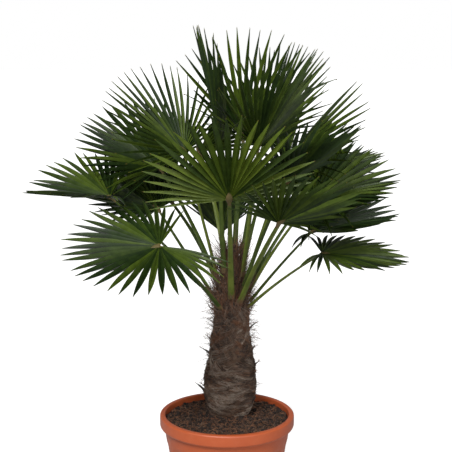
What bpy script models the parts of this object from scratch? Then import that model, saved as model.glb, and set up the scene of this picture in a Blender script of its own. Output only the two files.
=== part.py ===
"""Windmill palm: a hairy trunk with 22 stiff fan leaves, in a round plastic pot.

Metres, +Z up. The origin is the centre of the pot's underside. Azimuths are in
degrees from +X towards +Y, so the front of the plant, at -Y, is azimuth 270.
"""

import math
from collections import namedtuple

import bmesh
import bpy
from mathutils import Vector
from mathutils.bvhtree import BVHTree

# Pieces that touch on the real plant lie this far apart.
GAP = 0.0003
TUBE_SIDES = 6

# Pot, 40 cm across its rim
POT_HEIGHT = 0.340
RIM_RADIUS = 0.200
RIM_DEPTH = 0.038
RIM_ROUND = 0.006
SKIRT_ROUND = 0.009
SKIRT_STEP = 0.001
COLLAR_RADIUS = 0.187
BASE_RADIUS = 0.142
WALL = 0.003
POT_STEPS = 40
PANELS = 8
PANEL_TOP = 0.262
PANEL_BOTTOM = 0.030
PANEL_HALF = 17.6
PANEL_CORNER = 0.030
PANEL_SINK = 0.0020
CUTTER_COLUMNS = 8
CUTTER_DEPTH = 0.010

# Soil, a little below the rim
SOIL_TOP = 0.324

# Trunk: its heights and radii, and its lean away from the pot's axis
TRUNK_RADII = (
    (SOIL_TOP + GAP, 0.052),
    (0.350, 0.062),
    (0.390, 0.073),
    (0.440, 0.075),
    (0.510, 0.061),
    (0.570, 0.053),
    (0.630, 0.047),
    (0.680, 0.042),
    (0.720, 0.036),
    (0.760, 0.027),
    (0.800, 0.018),
    (0.850, 0.008),
)
TRUNK_SIDES = 14
TRUNK_FOOT = Vector((0.008, 0.020, SOIL_TOP))
TRUNK_LEAN = Vector((0.016, -0.043, 1.0))
BARK_WAVES = 5
BARK_WAVE = 0.02
BARK_TWIST = 70.0

# Stubs of old leaf bases, on a spiral round the trunk
GOLDEN_ANGLE = 137.5
OLD_BASES = 14
OLD_BASE_START = 40.0
OLD_BASE_LOW = 0.365
OLD_BASE_HIGH = 0.590
OLD_BASE_ROOT = 0.4
OLD_BASE_KNEE = 0.022
OLD_BASE_LENGTH = 0.055
OLD_BASE_OUT = 0.013
OLD_BASE_RADII = (0.015, 0.014, 0.004)

# Leaf stalks: the oldest leave the trunk lowest and lean out most
YOUNG_BASE = 0.785
BASE_DROP = 0.115
FULL_LEAN = 60.0
LEAVE_SHARE = 0.7
STALK_OUT = 0.011
LIVE_BASE_DROP = 0.050
LIVE_BASE_LENGTH = 0.018
LIVE_BASE_RADII = (0.0100, 0.0095, 0.0082)
STALK_BASE_RADIUS = 0.0075
STALK_TIP_RADIUS = 0.0050
STALK_POINTS = 7
STALK_TAPER = 0.6
STALK_PULL = 0.35

# Fans: pleated blades, free at the rim, 3 mm thick
SEGMENTS = 16
BLADE = 0.003
HUB_RADIUS = 0.007
NOTCH = 0.46
SHOULDER = 0.78
SHOULDER_WIDTH = 0.82
SIDE_SHORTER = 0.22
PLEAT = 0.22
CLEAR = 0.0012
LENGTHS_TRIED = (1.0, 0.88, 0.76, 0.64)

# The knot at a fan's hub: how far it reaches back along the stalk and on along the blade
KNOT_BACK = 0.020
KNOT_NECK = 0.004
KNOT_SWELL = 0.008
KNOT_TIP = 0.018
KNOT_RADII = (STALK_TIP_RADIUS, 0.0105, 0.0095, 0.0030)

# Each frond: the azimuth of its fan's hub round the trunk, how far its stalk's base is
# turned from that, how far out and how high the hub lies, how the blade turns from the
# azimuth, tilts up and rolls, its radius, its half spread and how far its halves fold up.
Frond = namedtuple("Frond", "name azimuth base_turn reach height turn pitch roll radius spread fold")
FRONDS = (
    Frond("front", 268, 0, 0.280, 1.020, 0, 58, 0, 0.275, 105, 5),
    Frond("low_left", 232, 0, 0.318, 0.892, -27, -8, -21, 0.270, 138, 3),
    Frond("far_left", 183, 0, 0.352, 0.992, 0, 4, -12, 0.250, 110, 20),
    Frond("front_right", 297, 0, 0.270, 0.952, 28, 30, -20, 0.245, 100, 8),
    Frond("far_right", 338, -4, 0.272, 0.844, 14, -4, 4, 0.250, 110, 4),
    Frond("low_right", 350, 6, 0.229, 0.894, 5, 12, 8, 0.265, 110, 12),
    Frond("mid_left", 148, 10, 0.264, 0.934, 2, 26, -18, 0.265, 105, 14),
    Frond("upper_left", 168, 0, 0.143, 1.117, 2, 52, -30, 0.305, 92, 8),
    Frond("top_back", 76, 6, 0.145, 1.155, 4, 76, 0, 0.335, 85, 8),
    Frond("top_right", 320, 0, 0.094, 1.142, 25, 60, -25, 0.320, 88, 8),
    Frond("top_left", 229, 0, 0.053, 1.152, -40, 78, 0, 0.345, 75, 8),
    Frond("upper_right", 26, -4, 0.183, 1.095, -18, 52, 30, 0.310, 95, 8),
    Frond("right_node", 318, -6, 0.209, 1.056, 17, 40, -15, 0.250, 100, 10),
    Frond("right_out", 0, 14, 0.231, 0.981, 0, 16, 22, 0.270, 105, 14),
    Frond("right_back", 29, 4, 0.245, 0.964, -17, 28, 22, 0.275, 105, 12),
    Frond("left_up", 144, -7, 0.270, 1.057, 14, 36, -25, 0.285, 100, 10),
    Frond("back_left", 126, -8, 0.323, 0.939, 0, 35, -5, 0.270, 105, 10),
    Frond("low_back", 96, -2, 0.300, 0.835, 0, 50, 0, 0.270, 70, 35),
    Frond("behind_right", 48, 2, 0.350, 1.000, 0, 18, 0, 0.275, 105, 12),
    Frond("behind_low", 74, 0, 0.340, 0.950, 0, 15, 0, 0.270, 95, 14),
    Frond("behind", 112, -8, 0.270, 1.100, 0, 45, 0, 0.290, 100, 8),
    Frond("behind_up", 55, 5, 0.180, 1.170, 0, 62, 0, 0.300, 92, 8),
)

UP = Vector((0.0, 0.0, 1.0))


def material(name, colour, roughness):
    """A plain Principled material."""
    made = bpy.data.materials.new(name)
    made.use_nodes = True
    shader = made.node_tree.nodes["Principled BSDF"]
    shader.inputs["Base Color"].default_value = (*colour, 1.0)
    shader.inputs["Roughness"].default_value = roughness
    return made


def add_object(name, mesh, finish, collection):
    """A new object that holds a mesh and its material."""
    made = bpy.data.objects.new(name, mesh)
    if finish is not None:
        mesh.materials.clear()
        mesh.materials.append(finish)
    collection.objects.link(made)
    return made


def applied(thing):
    """The object's mesh with its modifiers applied and its caps welded."""
    bpy.context.view_layer.update()
    graph = bpy.context.evaluated_depsgraph_get()
    mesh = bpy.data.meshes.new_from_object(thing.evaluated_get(graph))
    work = bmesh.new()
    work.from_mesh(mesh)
    bmesh.ops.remove_doubles(work, verts=work.verts, dist=1e-6)
    work.to_mesh(mesh)
    work.free()
    return mesh


def tube(name, points, radii, collection):
    """A tube with filled caps along a list of points."""
    curve = bpy.data.curves.new(name, "CURVE")
    curve.dimensions = "3D"
    curve.bevel_depth = 1.0
    curve.bevel_resolution = TUBE_SIDES // 2 - 2
    curve.use_fill_caps = True
    spline = curve.splines.new("POLY")
    spline.points.add(len(points) - 1)
    for spot, point, radius in zip(spline.points, points, radii):
        spot.co = (*point, 1.0)
        spot.radius = radius
    made = bpy.data.objects.new(name, curve)
    collection.objects.link(made)
    return made


def as_mesh(tube_object, name, finish, collection):
    """Turn a curve object into a mesh object."""
    mesh = applied(tube_object)
    bpy.data.objects.remove(tube_object)
    return add_object(name, mesh, finish, collection)


def join(body, pieces):
    """Fuse a collection of closed pieces to a body, and remove them."""
    fuse = body.modifiers.new("fuse", "BOOLEAN")
    fuse.operation = "UNION"
    fuse.operand_type = "COLLECTION"
    fuse.collection = pieces
    fuse.solver = "EXACT"
    mesh = applied(body)
    body.modifiers.clear()
    body.data = mesh
    for piece in list(pieces.objects):
        bpy.data.objects.remove(piece)
    return body


def arc(centre_radius, centre_height, size, start, end, steps):
    """Points of a round corner in a turned profile."""
    points = []
    for step in range(steps + 1):
        angle = math.radians(start + (end - start) * step / steps)
        points.append((centre_radius + size * math.cos(angle), centre_height + size * math.sin(angle)))
    return points


def turned(name, profile, finish, collection):
    """A turned solid from a profile that starts and ends on the axis."""
    mesh = bpy.data.meshes.new(name)
    corners = [(radius, 0.0, height) for radius, height in profile]
    mesh.from_pydata(corners, [(i, i + 1) for i in range(len(corners) - 1)], [])
    made = add_object(name, mesh, finish, collection)
    screw = made.modifiers.new("turn", "SCREW")
    screw.steps = POT_STEPS
    screw.render_steps = POT_STEPS
    screw.use_merge_vertices = True
    screw.merge_threshold = 1e-5
    screw.use_smooth_shade = True
    return made


def wall_radius(height):
    """Outer radius of the pot's tapered wall."""
    collar = POT_HEIGHT - RIM_DEPTH
    return BASE_RADIUS + (COLLAR_RADIUS - BASE_RADIUS) * min(height, collar) / collar


def inner_radius(height):
    return wall_radius(height) - WALL


def pot_profile():
    """From the floor's centre up the inside, over the rim and down to the underside."""
    collar = POT_HEIGHT - RIM_DEPTH
    inside = inner_radius(collar)
    rim_inside = [(0.0, WALL), (inner_radius(WALL), WALL), (inside, collar)]
    top_inner = arc(inside + WALL, POT_HEIGHT - WALL, WALL, 180, 90, 2)
    top_outer = arc(RIM_RADIUS - RIM_ROUND, POT_HEIGHT - RIM_ROUND, RIM_ROUND, 90, 0, 3)
    skirt = arc(RIM_RADIUS - SKIRT_ROUND, collar + SKIRT_ROUND, SKIRT_ROUND, 0, -75, 2)
    skirt.append((COLLAR_RADIUS, collar - SKIRT_STEP))
    foot = arc(BASE_RADIUS - WALL, WALL, WALL, 0, -90, 2)
    return rim_inside + top_inner + top_outer + skirt + foot + [(0.0, 0.0)]


def facet_radius(radius, angle):
    """Radius to the flat facet of a turned piece at an angle."""
    facet = 2.0 * math.pi / POT_STEPS
    return radius * math.cos(facet / 2) / math.cos(angle % facet - facet / 2)


def panel_cutter(index, collection):
    """A curved block with round top corners that sinks one panel into the wall."""
    mesh = bpy.data.meshes.new("panel_cutter")
    work = bmesh.new()
    bmesh.ops.create_grid(work, x_segments=CUTTER_COLUMNS, y_segments=1, size=1.0)
    half = math.radians(PANEL_HALF)
    middle = index * 2.0 * math.pi / PANELS
    half_width = half * wall_radius(PANEL_TOP)
    for corner in work.verts:
        across, up = corner.co.x, (corner.co.y + 1.0) / 2.0
        into_corner = max(0.0, abs(across) * half_width + PANEL_CORNER - half_width) / PANEL_CORNER
        top = PANEL_TOP - PANEL_CORNER * (1.0 - math.sqrt(max(0.0, 1.0 - into_corner**2)))
        height = PANEL_BOTTOM + (top - PANEL_BOTTOM) * up
        angle = middle + across * half
        radius = facet_radius(wall_radius(height) - PANEL_SINK, angle)
        corner.co = (radius * math.cos(angle), radius * math.sin(angle), height)
    outward = Vector((math.cos(middle), math.sin(middle), 0.0))
    work.normal_update()
    work.faces.ensure_lookup_table()
    faces_out = work.faces[0].normal.dot(outward) > 0.0
    work.to_mesh(mesh)
    work.free()
    cutter = add_object("panel_cutter", mesh, None, collection)
    thicken = cutter.modifiers.new("thicken", "SOLIDIFY")
    thicken.thickness = CUTTER_DEPTH
    thicken.offset = 1.0 if faces_out else -1.0
    return cutter


def make_pot(finish, collection, helpers):
    pot = turned("pot", pot_profile(), finish, collection)
    for index in range(PANELS):
        panel_cutter(index, helpers)
    sink = pot.modifiers.new("panels", "BOOLEAN")
    sink.operation = "DIFFERENCE"
    sink.operand_type = "COLLECTION"
    sink.collection = helpers
    mesh = applied(pot)
    pot.modifiers.clear()
    pot.data = mesh
    for cutter in list(helpers.objects):
        bpy.data.objects.remove(cutter)
    return pot


def make_soil(finish, collection):
    collar = POT_HEIGHT - RIM_DEPTH
    profile = [
        (0.0, SOIL_TOP),
        (inner_radius(collar) - GAP, SOIL_TOP),
        (inner_radius(collar) - GAP, collar),
        (inner_radius(WALL) - GAP, WALL + GAP),
        (0.0, WALL + GAP),
    ]
    return turned("soil", profile, finish, collection)


def trunk_axis(height):
    return TRUNK_FOOT + TRUNK_LEAN * (height - SOIL_TOP)


def trunk_radius(height):
    """Radius of the trunk, read between its named heights."""
    low, low_radius = TRUNK_RADII[0]
    for high, high_radius in TRUNK_RADII[1:]:
        if height <= high:
            share = (height - low) / (high - low)
            return low_radius + (high_radius - low_radius) * share
        low, low_radius = high, high_radius
    return low_radius


def spoke(azimuth, lean=90.0):
    """Unit direction at an azimuth, leaning from the vertical."""
    turn, tilt = math.radians(azimuth), math.radians(lean)
    return Vector((math.sin(tilt) * math.cos(turn), math.sin(tilt) * math.sin(turn), math.cos(tilt)))


def trunk_core(finish, collection):
    """The trunk's tapering loft, slightly lobed."""
    work = bmesh.new()
    rings = []
    for level, (height, radius) in enumerate(TRUNK_RADII):
        ring = []
        for side in range(TRUNK_SIDES):
            azimuth = 360.0 * side / TRUNK_SIDES
            lobe = 1.0 + BARK_WAVE * math.sin(math.radians(BARK_WAVES * azimuth + BARK_TWIST * level))
            ring.append(work.verts.new(trunk_axis(height) + spoke(azimuth) * radius * lobe))
        rings.append(ring)
    for lower, upper in zip(rings, rings[1:]):
        for side in range(TRUNK_SIDES):
            beside = (side + 1) % TRUNK_SIDES
            work.faces.new((lower[side], lower[beside], upper[beside], upper[side]))
    work.faces.new(list(reversed(rings[0])))
    work.faces.new(rings[-1])
    mesh = bpy.data.meshes.new("trunk")
    work.to_mesh(mesh)
    work.free()
    return add_object("trunk", mesh, finish, collection)


def old_base(index, collection):
    """The stub of an old leaf base that stands off the trunk."""
    height = OLD_BASE_LOW + (OLD_BASE_HIGH - OLD_BASE_LOW) * index / (OLD_BASES - 1)
    azimuth = OLD_BASE_START + GOLDEN_ANGLE * index
    out = spoke(azimuth)
    knee = height + OLD_BASE_KNEE
    tip = height + OLD_BASE_LENGTH
    path = [
        trunk_axis(height) + out * trunk_radius(height) * OLD_BASE_ROOT,
        trunk_axis(knee) + out * trunk_radius(knee),
        trunk_axis(tip) + out * (trunk_radius(tip) + OLD_BASE_OUT),
    ]
    return tube("old_base", path, OLD_BASE_RADII, collection)


def frond_lean(frond):
    """Lean of the line from the trunk's top to the fan's hub."""
    return math.degrees(math.atan2(frond.reach, frond.height - YOUNG_BASE + BASE_DROP / 2))


def frond_hub(frond):
    crown = trunk_axis(YOUNG_BASE)
    return Vector((crown.x, crown.y, frond.height)) + spoke(frond.azimuth) * frond.reach


def stalk_base(frond):
    """Where the stalk leaves the trunk, and its direction there."""
    age = min(frond_lean(frond) / FULL_LEAN, 1.0)
    height = YOUNG_BASE - BASE_DROP * age
    azimuth = frond.azimuth + frond.base_turn
    start = trunk_axis(height) + spoke(azimuth) * (trunk_radius(height) + STALK_OUT)
    return start, spoke(azimuth, frond_lean(frond) * LEAVE_SHARE)


def stalk_path(frond):
    """The stalk's arch as points, from its leaf base to the knot at the hub."""
    base, leaving = stalk_base(frond)
    hub = frond_hub(frond)
    chord = (hub - base).normalized()
    arriving = (2.0 * leaving.dot(chord) * chord - leaving).normalized()
    start = base + leaving * GAP
    end = hub - arriving * (KNOT_BACK + GAP)
    pull = (end - start).length * STALK_PULL
    first, second = start + leaving * pull, end - arriving * pull
    points = []
    for step in range(STALK_POINTS):
        t = step / (STALK_POINTS - 1)
        s = 1.0 - t
        points.append(start * s**3 + first * (3 * s * s * t) + second * (3 * s * t * t) + end * t**3)
    return points, arriving


def make_stalk(frond, finish, collection):
    points, _ = stalk_path(frond)
    radii = []
    for step in range(STALK_POINTS):
        share = (step / (STALK_POINTS - 1)) ** STALK_TAPER
        radii.append(STALK_BASE_RADIUS + (STALK_TIP_RADIUS - STALK_BASE_RADIUS) * share)
    stalk = tube("stalk_" + frond.name, points, radii, collection)
    return as_mesh(stalk, "stalk_" + frond.name, finish, collection)


def live_base(frond, collection):
    """The leaf base that carries a living stalk, fused into the trunk."""
    base, leaving = stalk_base(frond)
    path = [trunk_axis(base.z - LIVE_BASE_DROP), base - leaving * LIVE_BASE_LENGTH, base]
    return tube("live_base", path, LIVE_BASE_RADII, collection)


def make_trunk(finish, collection, helpers):
    trunk = trunk_core(finish, collection)
    stubs = [old_base(index, helpers) for index in range(OLD_BASES)]
    stubs += [live_base(frond, helpers) for frond in FRONDS]
    for stub in stubs:
        as_mesh(stub, "stub", None, helpers)
    return join(trunk, helpers)


def blade_axes(frond):
    """Middle, left and upward directions of a blade."""
    heading = frond.azimuth + frond.turn
    middle = spoke(heading, 90.0 - frond.pitch)
    level = UP.cross(middle).normalized()
    above = middle.cross(level)
    roll = math.radians(frond.roll)
    left = level * math.cos(roll) + above * math.sin(roll)
    return middle, left, middle.cross(left)


def blade_ray(frond, angle):
    """Direction across the blade, whose halves fold up along its middle."""
    middle, left, above = blade_axes(frond)
    fold = math.radians(frond.fold)
    side = left * math.cos(fold) + above * math.copysign(math.sin(fold), angle)
    return middle * math.cos(angle) + side * math.sin(angle)


def segment_points(frond, index, share):
    """The eight corners of one segment and the direction that its pleat opens to."""
    spread = math.radians(frond.spread)
    half = spread / SEGMENTS
    angle = -spread + (2 * index + 1) * half
    hub = frond_hub(frond)
    left, middle, right = (blade_ray(frond, angle + turn) for turn in (half, 0.0, -half))
    above = right.cross(left).normalized()
    length = frond.radius * (1.0 - SIDE_SHORTER * (angle / spread) ** 2)
    notch = NOTCH * frond.radius
    width = notch * math.sin(half)
    rise = above * width * PLEAT
    free = notch + (length - notch) * share
    shoulder = notch + (free - notch) * (SHOULDER - NOTCH) / (1.0 - NOTCH)
    across = (left - right).normalized() * width * SHOULDER_WIDTH
    corners = {
        "in_left": hub + left * HUB_RADIUS,
        "in_right": hub + right * HUB_RADIUS,
        "notch_left": hub + left * notch + rise,
        "keel": hub + middle * notch - rise,
        "notch_right": hub + right * notch + rise,
        "shoulder_left": hub + middle * shoulder + across + rise / 2,
        "shoulder_right": hub + middle * shoulder - across + rise / 2,
        "tip": hub + middle * free,
    }
    return corners, above


SEGMENT_FACES = (
    ("in_left", "in_right", "keel"),
    ("in_left", "keel", "notch_left"),
    ("in_right", "notch_right", "keel"),
    ("notch_left", "keel", "shoulder_left"),
    ("shoulder_left", "keel", "tip"),
    ("keel", "notch_right", "shoulder_right"),
    ("keel", "shoulder_right", "tip"),
)


def segment_is_clear(corners, above, others):
    """Whether a segment with its clearance touches none of the solids made so far."""
    names = list(corners)
    lift = above * (BLADE / 2 + CLEAR)
    points = [corners[name] + lift for name in names] + [corners[name] - lift for name in names]
    count = len(names)
    faces = []
    for face in SEGMENT_FACES:
        upper = [names.index(name) for name in face]
        faces.append(upper)
        faces.append([corner + count for corner in reversed(upper)])
    rim = ("in_left", "notch_left", "shoulder_left", "tip", "shoulder_right", "notch_right")
    for start, end in zip(rim, rim[1:]):
        a, b = names.index(start), names.index(end)
        faces.append([a, b, b + count, a + count])
    slab = BVHTree.FromPolygons(points, faces)
    return not any(slab.overlap(other) for other in others)


def make_knot(frond, finish, collection):
    """The knot between stalk and fan, which becomes the fan when its blade is fused on."""
    _, arriving = stalk_path(frond)
    middle = blade_axes(frond)[0]
    hub = frond_hub(frond)
    path = [
        hub - arriving * KNOT_BACK,
        hub - arriving * KNOT_NECK,
        hub + middle * KNOT_SWELL,
        hub + middle * KNOT_TIP,
    ]
    knot = tube("knot", path, KNOT_RADII, collection)
    return as_mesh(knot, "fan_" + frond.name, finish, collection)


def add_blade(knot, frond, helpers, others):
    """Fuse the pleated blade of one frond to its knot."""
    work = bmesh.new()
    shared = {}
    for index in range(SEGMENTS):
        for share in LENGTHS_TRIED:
            corners, above = segment_points(frond, index, share)
            if segment_is_clear(corners, above, others):
                break
        else:
            continue
        keys = {
            "in_right": ("in", index),
            "in_left": ("in", index + 1),
            "notch_right": ("notch", index),
            "notch_left": ("notch", index + 1),
        }
        spots = {}
        for name, point in corners.items():
            key = keys.get(name, (name, index))
            if key not in shared:
                shared[key] = work.verts.new(point)
            spots[name] = shared[key]
        for face in SEGMENT_FACES:
            work.faces.new([spots[name] for name in face])
    bmesh.ops.recalc_face_normals(work, faces=work.faces)
    sheet = bpy.data.meshes.new("sheet")
    work.to_mesh(sheet)
    work.free()
    blade = add_object("blade", sheet, None, helpers)
    thicken = blade.modifiers.new("thicken", "SOLIDIFY")
    thicken.thickness = BLADE
    thicken.offset = 0.0
    mesh = applied(blade)
    bpy.data.objects.remove(blade)
    add_object("blade", mesh, None, helpers)
    return join(knot, helpers)


def tree_of(thing):
    """A search tree of an object's faces."""
    work = bmesh.new()
    work.from_mesh(thing.data)
    bmesh.ops.triangulate(work, faces=work.faces)
    tree = BVHTree.FromBMesh(work)
    work.free()
    return tree


def main():
    for old in list(bpy.data.objects):
        bpy.data.objects.remove(old)
    collection = bpy.data.collections.new("windmill_palm")
    helpers = bpy.data.collections.new("helpers")
    bpy.context.scene.collection.children.link(collection)
    bpy.context.scene.collection.children.link(helpers)
    clay = material("terracotta_plastic", (0.42, 0.115, 0.045), 0.42)
    compost = material("compost", (0.020, 0.012, 0.008), 0.95)
    bark = material("fibrous_bark", (0.080, 0.048, 0.030), 0.90)
    stalk_green = material("stalk_green", (0.075, 0.130, 0.025), 0.50)
    leaf_green = material("leaf_green", (0.028, 0.075, 0.014), 0.45)

    make_pot(clay, collection, helpers)
    make_soil(compost, collection)
    trunk = make_trunk(bark, collection, helpers)
    bark_tree = tree_of(trunk)
    stalks = {frond: tree_of(make_stalk(frond, stalk_green, collection)) for frond in FRONDS}
    fans = {frond: make_knot(frond, leaf_green, collection) for frond in FRONDS}
    trees = {frond: tree_of(fan) for frond, fan in fans.items()}
    for frond, fan in fans.items():
        others = [bark_tree]
        others += [tree for other, tree in stalks.items() if other != frond]
        others += [tree for other, tree in trees.items() if other != frond]
        add_blade(fan, frond, helpers, others)
        trees[frond] = tree_of(fan)


main()
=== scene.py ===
"""Windmill palm in its pot: the look of every surface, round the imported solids.

Metres, +Z up. The front of the plant, at -Y, is azimuth 270.
"""

import math
import random
from collections import namedtuple
from itertools import product

import bpy
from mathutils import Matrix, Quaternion, Vector, noise
from mathutils.bvhtree import BVHTree


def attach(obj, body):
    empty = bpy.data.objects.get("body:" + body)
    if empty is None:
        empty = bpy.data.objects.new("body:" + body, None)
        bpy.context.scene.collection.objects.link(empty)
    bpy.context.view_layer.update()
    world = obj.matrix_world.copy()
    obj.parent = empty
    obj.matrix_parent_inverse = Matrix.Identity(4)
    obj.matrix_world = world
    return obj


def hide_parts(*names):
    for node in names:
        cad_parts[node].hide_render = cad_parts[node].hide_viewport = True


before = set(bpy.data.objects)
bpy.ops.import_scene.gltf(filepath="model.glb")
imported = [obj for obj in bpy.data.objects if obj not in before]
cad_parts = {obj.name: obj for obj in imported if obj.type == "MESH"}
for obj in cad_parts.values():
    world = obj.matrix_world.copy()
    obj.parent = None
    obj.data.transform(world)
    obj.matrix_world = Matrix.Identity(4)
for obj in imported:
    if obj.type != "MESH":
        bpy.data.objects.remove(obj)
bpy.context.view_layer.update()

UP = Vector((0.0, 0.0, 1.0))
GAP = 0.0003
NOISE_LOW, NOISE_HIGH = 0.3, 0.7

# Pot
POT_HEIGHT = 0.340
RIM_RADIUS = 0.200
RIM_DEPTH = 0.038
RIM_ROUND = 0.006
SKIRT_ROUND = 0.009
SKIRT_STEP = 0.001
COLLAR_RADIUS = 0.187
BASE_RADIUS = 0.142
WALL = 0.003
PANELS = 8
PANEL_TOP = 0.262
PANEL_BOTTOM = 0.030
PANEL_HALF = 17.6
PANEL_CORNER = 0.030
PANEL_SINK = 0.0020
PANEL_EDGE = 0.0035
SECTOR_COLUMNS = 36
WALL_ROWS = 84
COLLAR = POT_HEIGHT - RIM_DEPTH
PROFILE_END = 0.002
DENSE_FROM = 0.88
DENSE_TO = 1.10
FLAT_SHARE = 0.45
EDGE_SHARE = 0.85

# Soil
SOIL_TOP = 0.324
SOIL_RINGS = 64
SOIL_SPOKES = 150
MOUND = 0.012
MOUND_FLAT = 0.05
MOUND_SPREAD = 0.045
SOIL_SETTLED = 0.002
SOIL_ROUGH = 0.0065
CRUMBS = 2600
CRUMB_SIZE = (0.0013, 0.0064)
CRUMB_PROFILE = ((-0.85, 0.45), (-0.2, 1.0), (0.45, 0.85), (0.9, 0.35))
THREADS = 2300
THREAD_LENGTH = (0.008, 0.034)
THREAD_THICK = (0.0004, 0.0012)

# Trunk
TRUNK_RADII = (
    (SOIL_TOP + GAP, 0.052),
    (0.350, 0.062),
    (0.390, 0.073),
    (0.440, 0.075),
    (0.510, 0.061),
    (0.570, 0.053),
    (0.630, 0.047),
    (0.680, 0.042),
    (0.720, 0.036),
    (0.760, 0.027),
    (0.800, 0.018),
    (0.850, 0.008),
)
TRUNK_FOOT = Vector((0.008, 0.020, SOIL_TOP))
TRUNK_LEAN = Vector((0.016, -0.043, 1.0))
TRUNK_COLUMNS = 150
TRUNK_ROWS = 210
GOLDEN_ANGLE = 137.5
OLD_BASES = 14
OLD_BASE_START = 40.0
OLD_BASE_LOW = 0.365
OLD_BASE_HIGH = 0.590
BARK_SWELL = 0.14
BARK_RIDGE = 0.005
BARK_GRAIN = 0.0022
BARK_FADES = 0.80
BARK_FADE_DEPTH = 0.15

# Old leaf bases, as they stand off the trunk
BOOTS = 2 * OLD_BASES
BOOT_STEPS = 8
BOOT_TALL = (0.034, 0.062)
BOOT_STAND = (0.010, 0.028)
BOOT_CURL = 0.35
BOOT_WIDE = (0.008, 0.015)
BOOT_ROOT = 0.004
BOOT_THICK = 0.0035
BOOT_ROUGH = 0.4
BOOT_HOLLOW = 0.35
BOOT_FRAYS = 26

# Fibre
TUFTS = 150
TUFT_STRANDS = 22
TUFT_CLIMB = (1.6, 0.25)
TUFT_LENGTH = (0.035, 0.105)
TUFT_SAG = 0.012
TUFT_LOFT = 0.003
TUFT_TALL = 0.012
TUFT_WIDE = 16.0
TUFT_RIPPLE = 0.0015
TUFT_LOWEST = 0.329
TUFT_HIGHEST = 0.845
TUFT_THICK = (0.00025, 0.0007)
TUFT_EVEN = 0.75
LOW_TUFT = 0.6
SHORT_HAIRS = 1300
LONG_HAIRS = 460
RISING_HAIRS = 1500
STRAND_SIDES = 3
STRAND_TAPER = 0.85
UPRIGHT_STRAND = 0.05

# Stalks
YOUNG_BASE = 0.785
BASE_DROP = 0.115
FULL_LEAN = 60.0
LEAVE_SHARE = 0.7
STALK_OUT = 0.011
STALK_PULL = 0.35
HUB_BACK = 0.004
STALK_STEPS = 26
STALK_SIDES = 10
STALK_WIDE = (0.0105, 0.0050)
STALK_THICK = (0.0070, 0.0042)
STALK_NARROWS = 0.7
STALK_FLAT = 0.45
KNOB_FLAT = 0.55
KNOB = (
    (-0.012, 0.0060),
    (-0.004, 0.0082),
    (0.004, 0.0095),
    (0.012, 0.0080),
    (0.020, 0.0045),
    (0.025, 0.0010),
)

# Fans
SEGMENTS = 27
WIDEST_SEGMENT = 8.2
HUB_RADIUS = 0.005
NOTCH = 0.46
SIDE_SHORTER = 0.22
FOLD = 0.68
UPRIGHT_REACH = 0.2
UPRIGHT_CUT = 0.72
LEAF_THICKNESS = 0.0007
HEART = 0.010
JOINED_STEPS = 5
FREE_STEPS = (0.07, 0.16, 0.28, 0.42, 0.56, 0.70, 0.82, 0.91, 0.965, 1.0)
TIP_STARTS = 0.96
TIP_SPLIT = 0.006
FREE_SWELL = 0.15
FREE_TAPER = 2.6
NARROWEST = 0.0012
FLATTER = 0.25
HALF_ARCH = 0.07
HALF_POINTS = ((0.35, 0.9), (0.70, 0.7))
CUT = 1.05
CUT_SPREAD = 0.10
SIDE_CUT = 0.55
LENGTH_SPREAD = 0.05
BEND_SPREAD = 0.06
SIDE_DROOP = 0.10
SWAY_SPREAD = 0.05
TWIST_SPREAD = 0.5
FAN_SEED = 100

# What a segment tries in turn until it is clear of the fans before it
LIFTS = (0.0, 0.07, -0.07, 0.14, -0.14, 0.22, -0.22)
SHARES = (1.0, 0.84, 0.68, 0.5)

# Studio
FLOOR_HALF = 90
FLOOR_GREY = 0.45
FLOOR_GLOW = 0.80
AMBIENT = 0.26

# Each light: name, azimuth, lean from above, softness in degrees, strength
LIGHTS = (("key", 250.0, 42.0, 22.0, 3.2), ("fill", 290.0, 76.0, 40.0, 1.1))

# Camera
CAMERA_PLACE = (-0.003, -3.0, 1.396)
CAMERA_PITCH = 9.3
LENS = 83.4

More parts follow.
